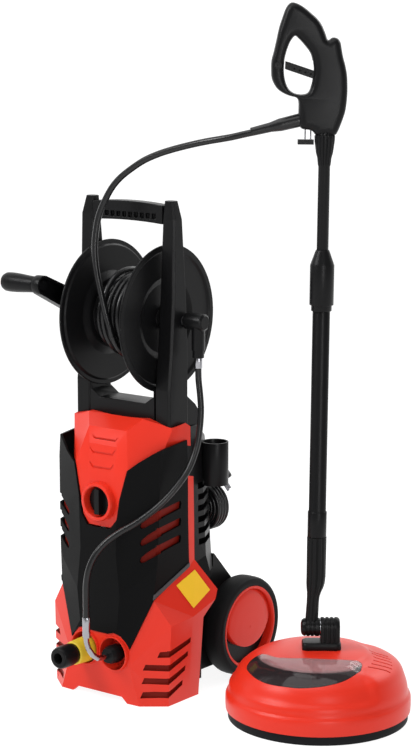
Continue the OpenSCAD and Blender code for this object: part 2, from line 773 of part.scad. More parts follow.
module gun_half(s) {
  color(black) at_gun() difference() {
    scale([1, s, 1]) front_prism(gun_outline, 0, gun_half_w);
    front_prism(gun_window, -20, 20);
    front_prism([[-30, 1064], [-4, 1070], [-4, 1090], [-12, 1093], [-30, 1113]], -8.6, 8.6);
    translate([trigger_pivot[0], 0, trigger_pivot[1]]) along_y(-12, 12, 2.6);
    translate([lock_at[0], 0, lock_at[1]]) along_y(-20, 20, 6.05);
    translate([0, 0, 980]) cylinder(r = 10.1, h = 72);
    translate(sleeve_start) rotate([0, -104.3, 0]) translate([0, 0, -26]) cylinder(r = 11.1, h = 50);
    for (x = [-32, -23]) translate([x, 0, 980]) cylinder(r = 1.25, h = 34);
  }
}

module gun_valve() {
  color("goldenrod") at_gun() difference() {
    translate([0, 0, 984]) cylinder(r = 10, h = 66);
    translate([0, 0, 980]) cylinder(r = 4, h = 50);
    translate(sleeve_start) rotate([0, -104.3, 0]) translate([0, 0, -26]) cylinder(r = 11.2, h = 50);
  }
}

// Rubber sleeve over the hose end, plugged into the gun.
module hose_sleeve() {
  color(black) at_gun() translate(sleeve_start) rotate([0, -104.3, 0])
    rotate_extrude() polygon([[0, -25], [11, -25], [11, 12], [10.5, 40], [8, 56], [7, 88.7], [0, 88.7]]);
}

module gun_trigger() {
  color(black) at_gun() {
    difference() {
      union() {
        front_prism([[-14, 1073.6], [-10, 1073.6], [-10, 1086.4], [-20, 1088], [-60, 1101], [-66, 1102.5], [-66.4, 1090],
          [-62, 1088.5], [-22, 1075.5]], -8, 8);
        translate([trigger_pivot[0], 0, trigger_pivot[1]]) along_y(-8, 8, 6.5);
      }
      for (i = [0:3]) translate([-52 + 9 * i, 0, 1089 - 2.9 * i + 2]) along_y(-9, 9, 1.6);
    }
    translate([trigger_pivot[0], 0, trigger_pivot[1]]) along_y(-11.8, 11.8, 2.5);
  }
}

// Push button across the handle that locks the trigger.
module trigger_lock() {
  color(black) at_gun() translate([lock_at[0], 0, lock_at[1]]) along_y(-19, 15, 6);
}

// Wire clip that locks the hose end in the gun, with its finger pad.
module hose_clip() {
  color(steel) at_gun() for (x = [-32, -23]) translate([x, 0, 976]) cylinder(r = 1.2, h = 22);
  color(black) at_gun() translate([-44, -7, 969]) cube([26, 14, 8]);
}

// ---------- one line per node ----------

// The frame's origin is the middle of the floor under the machine, the cleaner and the crank.
module placed() {
  translate([-152.2, 14.7, 0]) children();
}

placed() lower_shell();
placed() front_panel();
placed() top_cover();
placed() rear_shell();
placed() base_chassis();
placed() axle();
placed() mirror([1, 0, 0]) at_axle() tyre();  // tyre_left
placed() at_axle() tyre();  // tyre_right
placed() mirror([1, 0, 0]) at_axle() rim();  // rim_left
placed() at_axle() rim();  // rim_right
placed() mirror([1, 0, 0]) at_axle() hubcap();  // hubcap_left
placed() at_axle() hubcap();  // hubcap_right
placed() mirror([1, 0, 0]) upright();  // upright_left
placed() upright();  // upright_right
placed() lower_crossbar();
placed() top_grip();
placed() reel_axle();
placed() mirror([1, 0, 0]) reel_half();  // reel_half_left
placed() reel_half();  // reel_half_right
placed() crank_arm();
placed() crank_grip();
placed() wound_hose();
placed() swivel_elbow();
placed() hose_ferrules();
placed() connecting_hose();
placed() outlet_tube();
placed() outlet_nut();
placed() connector_body();
placed() release_collar();
placed() pump_head();
placed() pump_pistons();
placed() gear_case();
placed() motor_housing();
placed() motor_shaft();
placed() switch_box();
placed() switch_knob();
placed() nozzle_holder();
placed() cable_hooks();
placed() cable_gland();
placed() cord_hank();
placed() cord_gland_tail();
placed() cord_plug_tail();
placed() mains_plug();
placed() free_hose();
placed() cleaner_hood();
placed() cleaner_window();
placed() cleaner_skirt();
placed() cleaner_knuckle();
placed() spray_rotor();
placed() lance_foot();
placed() lance_lower();
placed() lance_coupling();
placed() lance_upper();
placed() gun_half(-1);  // gun_half_near
placed() gun_half(1);  // gun_half_far
placed() gun_valve();
placed() hose_sleeve();
placed() gun_trigger();
placed() trigger_lock();
placed() hose_clip();
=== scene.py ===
import json
import math

import bpy
import bmesh
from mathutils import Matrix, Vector
from mathutils.geometry import tessellate_polygon


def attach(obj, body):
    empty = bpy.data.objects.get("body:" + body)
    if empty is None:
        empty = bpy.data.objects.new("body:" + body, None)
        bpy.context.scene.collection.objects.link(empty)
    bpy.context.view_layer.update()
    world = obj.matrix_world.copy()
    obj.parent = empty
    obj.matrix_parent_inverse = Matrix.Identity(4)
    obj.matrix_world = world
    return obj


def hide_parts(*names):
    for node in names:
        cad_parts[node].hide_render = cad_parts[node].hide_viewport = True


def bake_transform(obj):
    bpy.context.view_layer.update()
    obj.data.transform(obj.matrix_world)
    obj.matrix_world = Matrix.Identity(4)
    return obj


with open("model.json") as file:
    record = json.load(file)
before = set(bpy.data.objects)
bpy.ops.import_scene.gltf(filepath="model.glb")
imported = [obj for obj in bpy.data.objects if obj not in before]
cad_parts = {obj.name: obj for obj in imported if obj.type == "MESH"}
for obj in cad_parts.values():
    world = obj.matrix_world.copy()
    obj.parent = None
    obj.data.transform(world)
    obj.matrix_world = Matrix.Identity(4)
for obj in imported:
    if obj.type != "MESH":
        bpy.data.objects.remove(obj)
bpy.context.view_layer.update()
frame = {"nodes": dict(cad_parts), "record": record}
scene = bpy.context.scene
nodes = frame["nodes"]


# The machine is drawn with its mirror plane at x = 0; the frame's origin lies in the middle of the whole set.
SHIFT = Vector((-0.1522, 0.0147, 0))


def local(p):
    """A point given in the machine's millimetres, as a vector in metres in the frame."""
    return Vector(p) / 1000 + SHIFT


# ---------- camera, light and floor ----------

camera = bpy.data.objects.new("camera", bpy.data.cameras.new("camera"))
scene.collection.objects.link(camera)
camera.location = Vector((2.36837, -2.90574, 1.21867)) + SHIFT
AZ, PITCH = math.radians(37.75), math.radians(10.12)
back = Vector((math.sin(AZ) * math.cos(PITCH), -math.cos(AZ) * math.cos(PITCH), math.sin(PITCH)))
camera.rotation_euler = (-back).to_track_quat("-Z", "Y").to_euler()
camera.data.lens = 103.954
camera.data.sensor_width = 36
camera.data.clip_end = 200
scene.camera = camera

world = bpy.data.worlds.new("studio")
world.use_nodes = True
world.node_tree.nodes["Background"].inputs["Color"].default_value = (1, 1, 1, 1)
world.node_tree.nodes["Background"].inputs["Strength"].default_value = 0.35
scene.world = world
scene.view_settings.view_transform = "Standard"


def area_light(name, at, target, size, watts):
    data = bpy.data.lights.new(name, "AREA")
    data.shape = "RECTANGLE"
    data.size, data.size_y = size
    data.energy = watts
    lamp = bpy.data.objects.new(name, data)
    lamp.location = at
    lamp.rotation_euler = (Vector(target) - Vector(at)).to_track_quat("-Z", "Y").to_euler()
    scene.collection.objects.link(lamp)


area_light("key", (-1.6, -2.4, 2.8), (0, 0, 0.5), (1.4, 1.4), 80)
area_light("top", (0, -0.6, 3.2), (0, 0, 0.4), (2.4, 2.4), 42)
area_light("fill", (2.6, -2.2, 1.2), (0, 0, 0.5), (0.6, 1.8), 30)
area_light("rim", (0.4, 2.4, 2.2), (0, 0, 0.5), (2.0, 1.0), 20)


# ---------- materials ----------


def material(name, colour, rough, metal=0.0, grain=900.0, bump=0.02, tone=0.06, rough_var=0.08, ior=1.46, shine=0.5):
    """Moulded or turned surface: fine grain in the normal, faint drift of tone and gloss."""
    mat = bpy.data.materials.new(name)
    mat.use_nodes = True
    tree = mat.node_tree
    n, link = tree.nodes, tree.links.new
    shader = n["Principled BSDF"]
    shader.inputs["Metallic"].default_value = metal
    shader.inputs["IOR"].default_value = ior
    shader.inputs["Specular IOR Level"].default_value = shine
    where = n.new("ShaderNodeTexCoord")
    drift = n.new("ShaderNodeTexNoise")
    drift.inputs["Scale"].default_value = 14
    drift.inputs["Detail"].default_value = 5
    fine = n.new("ShaderNodeTexNoise")
    fine.inputs["Scale"].default_value = grain
    fine.inputs["Detail"].default_value = 2
    link(where.outputs["Object"], drift.inputs["Vector"])
    link(where.outputs["Object"], fine.inputs["Vector"])
    ramp = n.new("ShaderNodeMix")
    ramp.data_type = "RGBA"
    ramp.inputs["A"].default_value = (*[c * (1 - tone) for c in colour], 1)
    ramp.inputs["B"].default_value = (*[min(1, c * (1 + tone)) for c in colour], 1)
    link(drift.outputs["Fac"], ramp.inputs["Factor"])
    link(ramp.outputs["Result"], shader.inputs["Base Color"])
    gloss = n.new("ShaderNodeMapRange")
    gloss.inputs["To Min"].default_value = max(0.02, rough - rough_var)
    gloss.inputs["To Max"].default_value = min(1, rough + rough_var)
    link(drift.outputs["Fac"], gloss.inputs["Value"])
    link(gloss.outputs["Result"], shader.inputs["Roughness"])
    relief = n.new("ShaderNodeBump")
    relief.inputs["Strength"].default_value = bump
    relief.inputs["Distance"].default_value = 0.0006
    link(fine.outputs["Fac"], relief.inputs["Height"])
    link(relief.outputs["Normal"], shader.inputs["Normal"])
    return mat


RED = material("red_plastic", (0.65, 0.024, 0.009), 0.36, grain=1400, bump=0.05, tone=0.03, shine=0.32)
BLACK = material("black_plastic", (0.005, 0.005, 0.0054), 0.33, grain=1100, bump=0.18, tone=0.12, shine=0.15)
PANEL = material("panel_plastic", (0.0028, 0.0028, 0.003), 0.4, grain=1100, bump=0.15, tone=0.12, shine=0.07)
GREY = material("grey_plastic", (0.06, 0.062, 0.066), 0.4, grain=1100, bump=0.15, shine=0.3)
YELLOW = material("yellow_plastic", (0.66, 0.47, 0.03), 0.38, grain=1300, bump=0.05, tone=0.03, shine=0.4)
RUBBER = material("tyre_rubber", (0.0065, 0.0065, 0.007), 0.6, grain=700, bump=0.4, tone=0.15, shine=0.14)
HOSE = material("hose_rubber", (0.005, 0.005, 0.0055), 0.28, grain=600, bump=0.1, tone=0.1, shine=0.4)
STEEL = material("steel", (0.22, 0.22, 0.235), 0.3, 1.0, grain=500, bump=0.08, tone=0.05)
CHROME = material("chrome", (0.34, 0.34, 0.36), 0.16, 1.0, grain=400, bump=0.04, tone=0.03, rough_var=0.04)
ALLOY = material("cast_alloy", (0.35, 0.36, 0.38), 0.5, 1.0, grain=300, bump=0.4)
BRASS = material("brass", (0.6, 0.4, 0.13), 0.25, 1.0, grain=400, bump=0.06)
# Painted shade: a dark red for the cut walls of the louvre pockets and the liners behind the openings, where shade
# falls.
SHADE_RED = material("red_in_shade", (0.16, 0.008, 0.004), 0.5, grain=1400, bump=0.05, shine=0.1)
STICKER = material("sticker", (0.88, 0.54, 0.025), 0.45, grain=900, bump=0.02, tone=0.02, shine=0.3)
BRISTLE = material("bristles", (0.008, 0.008, 0.009), 0.6, grain=900, bump=0.3, shine=0.1)


def clear_material():
    """Smoky pane: the upper part painted a milky pink for the sky it reflects, the lower part dark and clear."""
    mat = bpy.data.materials.new("smoky_window")
    mat.use_nodes = True
    tree = mat.node_tree
    n, link = tree.nodes, tree.links.new
    shader = n["Principled BSDF"]
    where = n.new("ShaderNodeTexCoord")
    split = n.new("ShaderNodeSeparateXYZ")
    link(where.outputs["Object"], split.inputs["Vector"])
    waves = n.new("ShaderNodeTexNoise")
    waves.inputs["Scale"].default_value = 9
    link(where.outputs["Object"], waves.inputs["Vector"])
    band = n.new("ShaderNodeMath")
    band.operation = "MULTIPLY_ADD"
    link(waves.outputs["Fac"], band.inputs[0])
    band.inputs[1].default_value = 0.002
    link(split.outputs["Z"], band.inputs[2])
    # Painted reflection: above a height line made wavy by noise, the pane takes a light pink colour for the sky it
    # catches, and a little less transmission.
    sky_reflection_mask = n.new("ShaderNodeMapRange")
    sky_reflection_mask.inputs["From Min"].default_value = 0.1085
    sky_reflection_mask.inputs["From Max"].default_value = 0.1095
    link(band.outputs["Value"], sky_reflection_mask.inputs["Value"])
    painted_reflection_tint = n.new("ShaderNodeMix")
    painted_reflection_tint.data_type = "RGBA"
    painted_reflection_tint.inputs["A"].default_value = (0.1, 0.075, 0.08, 1)
    painted_reflection_tint.inputs["B"].default_value = (0.8, 0.45, 0.46, 1)
    link(sky_reflection_mask.outputs["Result"], painted_reflection_tint.inputs["Factor"])
    link(painted_reflection_tint.outputs["Result"], shader.inputs["Base Color"])
    clear = n.new("ShaderNodeMapRange")
    clear.inputs["To Min"].default_value = 0.8
    clear.inputs["To Max"].default_value = 0.75
    link(sky_reflection_mask.outputs["Result"], clear.inputs["Value"])
    link(clear.outputs["Result"], shader.inputs["Transmission Weight"])
    shader.inputs["IOR"].default_value = 1.3
    shader.inputs["Roughness"].default_value = 0.06
    return mat


WINDOW = clear_material()
BY_SLOT = {
    "red_plastic": RED, "black_plastic": BLACK, "yellow_plastic": YELLOW, "tyre_rubber": RUBBER,
    "hose_rubber": HOSE, "bristles": BRISTLE, "steel": STEEL, "chrome": CHROME,
    "cast_alloy": ALLOY, "brass": BRASS,
}


# ---------- mesh helpers ----------


def add(name, data, mat, body):
    obj = bpy.data.objects.new(name, data)
    scene.collection.objects.link(obj)
    obj.data.materials.append(mat)
    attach(obj, body)
    return obj


def eased(obj, width, segments=2, angle=30):
    """Rounds the edges that are sharper than the angle, by a bevel of a width in millimetres."""
    edge = obj.modifiers.new("edge", "BEVEL")
    edge.width = width / 1000
    edge.segments = segments
    edge.limit_method = "ANGLE"
    edge.angle_limit = math.radians(angle)
    edge.harden_normals = True
    return obj


def smoothed(obj, angle, mat=None):
    """Smooth shading with sharp edges above the angle, and one material all over if one is given."""
    if mat:
        obj.data.materials.clear()
        obj.data.materials.append(mat)
    obj.data.shade_smooth()
    obj.data.set_sharp_from_angle(angle=math.radians(angle))


def mesh(name, verts, faces, mat, body, smooth=0):
    """A piece from points in millimetres; faces is a list of vertex numbers for each face."""
    data = bpy.data.meshes.new(name)
    data.from_pydata([local(p) for p in verts], [], faces)
    data.validate()
    bm = bmesh.new()
    bm.from_mesh(data)
    bmesh.ops.recalc_face_normals(bm, faces=bm.faces)
    bm.to_mesh(data)
    bm.free()
    obj = add(name, data, mat, body)
    if smooth:
        smoothed(obj, smooth)
    return obj


def spline(points, per):
    """Catmull-Rom line through the points, in millimetres."""
    p = [Vector(q) for q in points]
    p = [2 * p[0] - p[1]] + p + [2 * p[-1] - p[-2]]
    out = []
    for i in range(1, len(p) - 2):
        a, b, c, d = p[i - 1], p[i], p[i + 1], p[i + 2]
        for k in range(per):
            t = k / per
            out.append(0.5 * (2 * b + (c - a) * t + (2 * a - 5 * b + 4 * c - d) * t * t
                              + (3 * b - a - 3 * c + d) * t ** 3))
    out.append(p[-2])
    return out


def tube(name, points, radius, mat, body=None):
    data = bpy.data.curves.new(name, "CURVE")
    data.dimensions = "3D"
    line = data.splines.new("POLY")
    line.points.add(len(points) - 1)
    for q, p in zip(line.points, points):
        q.co = (*local(p), 1)
    data.bevel_depth = radius / 1000
    data.bevel_resolution = 5
    data.use_fill_caps = True
    line.use_smooth = True
    obj = bpy.data.objects.new(name, data)
    scene.collection.objects.link(obj)
    obj.data.materials.append(mat)
    if body:
        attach(obj, body)
    return obj


def as_mesh(obj):
    """The same piece as a mesh, for a piece that runs between bodies; it is attached to none."""
    data = bpy.data.meshes.new_from_object(obj.evaluated_get(bpy.context.evaluated_depsgraph_get()))
    name, mat = obj.name, obj.data.materials[0]
    bpy.data.objects.remove(obj)
    data.shade_smooth()
    piece = bpy.data.objects.new(name, data)
    scene.collection.objects.link(piece)
    data.materials.clear()
    data.materials.append(mat)
    return piece


# ---------- hoses and mains cord ----------

REEL = Vector((0, -42.7, 661.6))
WOUND_R, HOSE_R, MAINS_R = 5, 5.6, 4


def winding(keys, end_phi):
    """Turns of hose round the reel axis that rise at the front; keys are (turn, x, radius)."""
    last, steps = keys[-1][0], 40
    out = []
    for i in range(int(last * steps) + 1):
        turn = i / steps
        k = next(k for k in range(len(keys) - 1) if turn <= keys[k + 1][0] + 1e-9)
        (t0, x0, r0), (t1, x1, r1) = keys[k], keys[k + 1]
        f = (turn - t0) / (t1 - t0)
        if t1 - t0 < 2:
            f = f * f * (3 - 2 * f)
        phi = math.radians(end_phi) + 2 * math.pi * (turn - last)
        x, r = x0 + (x1 - x0) * f, r0 + (r1 - r0) * f
        out.append(Vector((x, REEL.y - r * math.cos(phi), REEL.z + r * math.sin(phi))))
    return out


TURNS = [(0, -44, 58.2), (8.4, 44.2, 58.2), (8.6, 44.6, 68.4), (14.5, -19, 68.4), (14.75, -19, 78.6), (15.7, 34, 78.6),
         (16.1, 32, 78.6), (16.5, 6, 78.6)]
wound_path = winding(TURNS, -20)
wound = tube("hose_turns", wound_path, WOUND_R, HOSE, "reel")
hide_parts("wound_hose")

leaving = wound_path[-1]
free_path = spline([leaving, leaving + Vector((-2.5, -3.2, 12)), (-3.5, -121.5, 668), (-9, -123, 690),
                    (-14, -124, 712), (-20, -125, 738), (-24, -125, 762), (-26, -124, 786), (-25, -122, 811),
                    (-21, -119, 837), (-12, -115, 862), (2, -111, 887), (18, -107, 905), (40, -104, 921),
                    (66, -102, 936), (93, -100, 947), (119, -99, 955), (146, -98, 962), (172, -97, 968),
                    (196, -95, 973), (218, -91, 977), (238, -85, 981), (253, -78, 985), (264, -70.8, 987.9),
                    (269, -67.5, 989.2)], 5)
free = as_mesh(tube("free_hose_line", free_path, HOSE_R, HOSE))
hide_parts("free_hose")
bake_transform(free)

link_path = spline([(134, -42.7, 600), (134, -42.7, 588), (134, -42.7, 576), (135, -43, 560), (139, -44, 535),
                    (143, -47, 510), (145, -53, 480), (145, -62, 448), (142, -80, 414), (135, -102, 388),
                    (125, -121, 367), (110, -141, 346), (91, -161, 327), (71, -178, 312), (53, -195, 294),
                    (41, -208, 273), (34, -216, 250), (31, -220, 224), (31, -221, 198), (31, -221, 176),
                    (31, -221, 150)], 5)
link_hose = tube("link_hose", link_path, HOSE_R, HOSE, "machine")
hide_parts("connecting_hose")


HOOK_X, HANK_Z = 50, 306


def hank_turns():
    """Eleven turns on the two hooks, outside to inside and back, from the bottom run at the outer layer."""
    cells = [(40, 96), (32, 96), (24, 88), (32, 88), (40, 88), (40, 80), (32, 80), (24, 80), (24, 72), (32, 72),
             (40, 72)]
    out = []
    for k, (r, y) in enumerate(cells):
        r0, y0 = cells[max(0, k - 1)]
        for i in range(9):
            f = i / 9
            e = f * f * (3 - 2 * f)
            x = -HOOK_X + 2 * HOOK_X * f
            if k == 0 and x < 15:
                continue
            out.append((x, y0 + (y - y0) * e, HANK_Z - (r0 + (r - r0) * e)))
        for i in range(10):
            a = math.radians(-90 + 18 * i)
            out.append((HOOK_X + r * math.cos(a), y, HANK_Z + r * math.sin(a)))
        if k == len(cells) - 1:
            break
        for i in range(8):
            out.append((HOOK_X - 2 * HOOK_X * i / 8, y, HANK_Z + r))
        for i in range(10):
            a = math.radians(90 + 18 * i)
            out.append((-HOOK_X + r * math.cos(a), y, HANK_Z + r * math.sin(a)))
    return out


PLUG_FACE = Vector((87, 91, 356))
lean, turn = math.radians(32), math.radians(28)
PLUG_AXIS = Vector((math.sin(lean) * math.cos(turn), math.sin(lean) * math.sin(turn), -math.cos(lean)))
mains_path = spline([(-62, 52, 246), (-62, 62, 246), (-62, 72, 246), (-60, 83, 246.5), (-54, 93, 248), (-45, 100, 250),
                     (-33, 103, 252.5), (-18, 101.5, 257.5), (-2, 98, 262.5)] + hank_turns()
                    + [(43, 72, 346), (32, 72, 347), (20, 72, 352.5), (10, 73, 361), (4, 73, 373), (3, 73, 386),
                       (9, 73, 399), (20, 73, 408.5), (34, 73, 413.5), (46, 74, 413), (55, 75.5, 408)]
                    + [PLUG_FACE - PLUG_AXIS * d for d in (55, 45)], 3)
mains = tube("mains_lead", mains_path, MAINS_R, HOSE, "machine")
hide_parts("cord_gland_tail", "cord_hank", "cord_plug_tail")


# ---------- casing mouldings ----------

PORT_X, PORT_Z, KNOB_Z = 32.1, 84.3, 350
FRONT = (0, -1, 0)


def mirrored(points, faces):
    """Both halves of a moulding from its right half: named points and faces that name them in order."""
    names = list(points)
    verts = [points[n] for n in names]
    index = {n: i for i, n in enumerate(names)}
    twin = {}
    for n in names:
        x, y, z = points[n]
        if abs(x) < 0.01:
            twin[n] = index[n]
        else:
            twin[n] = len(verts)
            verts.append((-x, y, z))
    out = []
    for f in faces:
        right = [index[n] for n in f.split()]
        left = [twin[n] for n in reversed(f.split())]
        if set(right) == set(left):
            out.append(right)
            continue
        shared = [n for n in f.split() if twin[n] == index[n]]
        if len(shared) >= 2:
            ring = f.split()
            while not (twin[ring[0]] == index[ring[0]] and twin[ring[-1]] == index[ring[-1]]):
                ring = ring[1:] + ring[:1]
            out.append([index[n] for n in ring] + [twin[n] for n in reversed(ring[1:-1])])
        else:
            out += [right, left]
    return verts, out


def thickened(obj, thick, offset=-1, even=True):
    wall = obj.modifiers.new("wall", "SOLIDIFY")
    wall.thickness = thick / 1000
    wall.offset = offset
    wall.use_even_offset = even
    return obj


def settled(obj):
    """Applies the modifiers that shape the piece."""
    data = bpy.data.meshes.new_from_object(obj.evaluated_get(bpy.context.evaluated_depsgraph_get()))
    obj.modifiers.clear()
    obj.data = data
    return obj


def cutter(points, towards, out, deep):
    """A prism through the surface: the outline, pushed out and in along a direction."""
    d = Vector(towards).normalized()
    ring = [Vector(p) for p in points]
    n = len(ring)
    verts = [p + d * out for p in ring] + [p - d * deep for p in ring]
    faces = [list(range(n)), list(range(2 * n - 1, n - 1, -1))]
    faces += [[i, (i + 1) % n, n + (i + 1) % n, n + i] for i in range(n)]
    return verts, faces


def carve(obj, cuts, inside=None, crossing=True, operation="DIFFERENCE"):
    """Cuts prisms out of a piece, all in one go; the cut faces may take a material of their own."""
    bm = bmesh.new()
    for verts, faces in cuts:
        made = [bm.verts.new(local(v)) for v in verts]
        for f in faces:
            bm.faces.new([made[i] for i in f])
    bmesh.ops.recalc_face_normals(bm, faces=bm.faces)
    data = bpy.data.meshes.new("cuts")
    bm.to_mesh(data)
    bm.free()
    if inside:
        data.materials.append(inside)
    tool = bpy.data.objects.new("cuts", data)
    scene.collection.objects.link(tool)
    cut = obj.modifiers.new("cut", "BOOLEAN")
    cut.operation = operation
    cut.solver = "EXACT"
    cut.use_self = crossing
    if inside:
        cut.material_mode = "TRANSFER"
    cut.object = tool
    settled(obj)
    bpy.data.objects.remove(tool)


def both(cuts):
    """The cuts and their mirror images."""
    return cuts + [([Vector((-v[0], v[1], v[2])) for v in verts], [list(reversed(f)) for f in faces])
                   for verts, faces in cuts]


def disc(y, z, r, x):
    turns = [2 * math.pi * i / 48 for i in range(48)]
    return [(x + r * math.cos(a), y, z + r * math.sin(a)) for a in turns]


def port_cuts(r, deep):
    return [cutter(disc(-152, PORT_Z, r, x), FRONT, 20, deep) for x in (-PORT_X, PORT_X)]


def moulding(name, points, faces, mat, node, cuts, bevel, thick=3.0, angle=16, inside=None):
    """A thin-walled half and its mirror image as one piece, with its openings cut, in place of a CAD node."""
    obj = settled(thickened(mesh(name, *mirrored(points, faces), mat, "machine"), thick))
    carve(obj, cuts, inside)
    smoothed(obj, angle, None if inside else mat)
    eased(obj, bevel, 3, angle)
    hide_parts(node)


top_points = {
    "k0": (0, -88, 489), "k1": (64, -88, 494), "kd": (105, -83, 480.5), "k3": (106.5, -42, 484), "c0": (0, -95, 488),
    "c1": (61.4, -103, 494.5), "i0": (0, -125, 474.5), "i1": (42, -124, 474.5), "m1": (32, -136.5, 447),
    "m2": (28, -146.5, 374), "m0": (0, -146.5, 374), "g0": (0, -137, 447), "n1": (58.4, -141.5, 411.5),
    "n2": (44.5, -146, 359), "n3": (38, -146.5, 324), "n4": (25, -147, 307), "n5": (0, -147, 306),
    "p1": (72, -130, 414), "p2": (86, -114, 424), "p3": (98, -98, 434), "d": (111, -84, 481),
    "c2": (92, -94.5, 487.5), "l1": (113, -52, 486), "l2": (115, -41, 479), "l3": (115, -40, 444),
    "l4": (113, -54, 448)}
top_faces = ["k0 c0 c1 k1", "c0 i0 i1 c1", "i0 g0 m1 i1", "g0 m0 m2 m1", "m0 n5 n4 n3 n2 m2", "i1 m1 m2 n2 n1",
             "i1 n1 c1", "c1 n1 p1 p2 p3 d c2", "k1 c1 c2 kd", "kd c2 d", "d p3 l4 l1", "l1 l4 l3 l2", "kd d l1 k3"]
grooves = []
for z, half, y in [(458, 32, -132), (434, 30, -138.8), (409, 28, -142)]:
    line = [(-half, y, z + 6), (-half + 8, y, z - 3), (half - 8, y, z - 3), (half, y, z + 6)]
    upper = [(half - 2.5, y, z + 8), (half - 9, y, z + 0.5), (-half + 9, y, z + 0.5), (-half + 2.5, y, z + 8)]
    grooves.append(cutter(line + upper, (0, -1, 0.24), 7, 2.2))
knob_hole = cutter(disc(-148, KNOB_Z, 27, 0), FRONT, 14, 20)
moulding("top_cover_skin", top_points, top_faces, RED, "top_cover", cuts=grooves + [knob_hole], bevel=2.2)

panel_points = {
    "q5": (0, -151.5, 304.5), "q4": (25.5, -151.5, 305.5), "q3": (39.5, -149.5, 323), "q2": (46, -149.5, 359),
    "q1": (59.5, -145, 410.5), "q6": (80, -139.5, 426), "q7": (98, -129.5, 439), "q8": (114.5, -118.5, 449),
    "q9": (117, -52, 456.5), "s3": (116.5, -49.5, 412), "s2": (115.8, -48, 320), "s1": (115.8, -46, 250),
    "s0": (115.8, -45, 231), "e0": (0, -152.5, 118), "e1": (18, -152.5, 118), "e2": (32, -152.3, 122),
    "e3": (48, -151.5, 118), "e4": (58, -150.2, 108), "e5": (65.5, -149, 97), "e6": (104, -129.8, 187),
    "g4": (42, -153.5, 132), "g3": (48, -153.5, 190), "g2": (97, -135, 233), "g1": (110, -125.5, 250),
    "k1": (112, -124, 320), "k2": (114, -122, 412), "h1": (40, -153, 262)}
panel_faces = ["q5 e0 e1 e2 g4 g3 h1 q4", "e2 e3 e4 e5 g4", "g4 e5 e6 g3", "g3 e6 g1 g2", "h1 g3 g2 g1 k1",
               "q4 h1 q3", "h1 k1 q2 q3", "q2 k1 k2 q1", "q1 k2 q8 q7 q6", "e6 s0 s1 g1", "g1 s1 s2 k1",
               "k1 s2 s3 k2", "k2 s3 q9 q8"]
openings = []
for row in range(3):
    z = 341 - 30 * row
    side = [(116, -68, z + 12), (116, -66, z + 7), (116, -68, z - 2), (116, -129, z - 12.5), (116, -129, z + 3)]
    front = [(120, -122, z + 8.8), (120, -122, z - 7.2), (84, -122, z - 28.5), (79, -122, z - 30),
             (76.5, -122, z - 26.5), (79, -122, z - 20), (92, -122, z - 9)]
    openings += [cutter(side, (1, 0, 0), 8, 9.5), cutter(front, (0.25, -1, 0), 30, 9)]
moulding("front_panel_skin", panel_points, panel_faces, PANEL, "front_panel", cuts=both(openings) + port_cuts(36, 30),
         bevel=3.0, thick=3.5, angle=7)

low_points = {
    "b0": (0, -151.5, 10), "b1": (50, -151.5, 10), "b2": (62, -151.5, 0), "b3": (88.9, -150.4, 0),
    "b4": (128, -119.5, 0), "b5": (127.5, -62, 0), "b6": (127.5, -35, 0), "f3": (128, -21, 137), "f2": (139, -1, 167),
    "f1": (139, 5, 184), "w": (133, -117, 143), "s1": (136, -60, 148), "e6": (103, -127.3, 185.5),
    "u1": (113.5, -44, 230), "v1": (113.5, -28, 240), "v2": (113.8, -29, 306), "v3": (114, -31, 389),
    "v4": (114.5, -48, 393), "u2": (114, -47, 320), "e0": (0, -150.5, 117), "e1": (18, -150.5, 117),
    "e2": (32, -150.3, 121), "e3": (48, -149.5, 117), "e4": (58, -148.2, 107), "e5": (65, -147, 95.5),
    "r1": (66.5, -150.5, 68), "r2": (76, -151.5, 38)}
low_faces = ["b0 b1 b2 b3 r2 r1 e5 e4 e3 e2 e1 e0", "e5 e6 w", "e5 w r1", "r1 w b4", "r1 b4 r2", "r2 b4 b3",
             "e6 w s1", "e6 s1 u1", "u1 s1 f2 f1 v1", "b4 b5 s1 w", "b5 b6 f3 f2 s1", "u1 v1 v2 u2", "u2 v2 v3 v4"]
# Each louvre runs along the slanting front facet to the corner, then back and up along the side.
louvre_runs = [((111, -128.5, 86), (131, -118.5, 88), (134, -68, 104)),
               ((88, -139.8, 62), (130, -118.6, 63), (133.5, -74, 81)),
               ((88, -144, 38), (129.3, -119, 39), (132, -80, 56)),
               ((88, -147.5, 14), (128.4, -119.4, 15), (130, -86, 31))]
facet, side_on, up = (32.5, -59, 0), (1, 0, 0), Vector((0, 0, 11))
louvres = []
for run in louvre_runs:
    a, b, c = map(Vector, run)
    corner, round_it = b + Vector((0.5, -0.3, 0)), b + Vector((0, -2, 0))
    louvres.append(cutter([a, a + Vector((4, 2.2, 10.5)), corner + up, corner], facet, 10, 5.4))
    louvres.append(cutter([round_it, round_it + up, c + Vector((0, 4, 8)), c + Vector((0, 3, -1))], side_on, 10, 5))
# The cut walls of the louvre pockets take the dark red of painted shade.
moulding("lower_shell_skin", low_points, low_faces, RED, "lower_shell", cuts=both(louvres) + port_cuts(28.4, 24),
         bevel=1.4, thick=6.0, angle=8, inside=SHADE_RED)


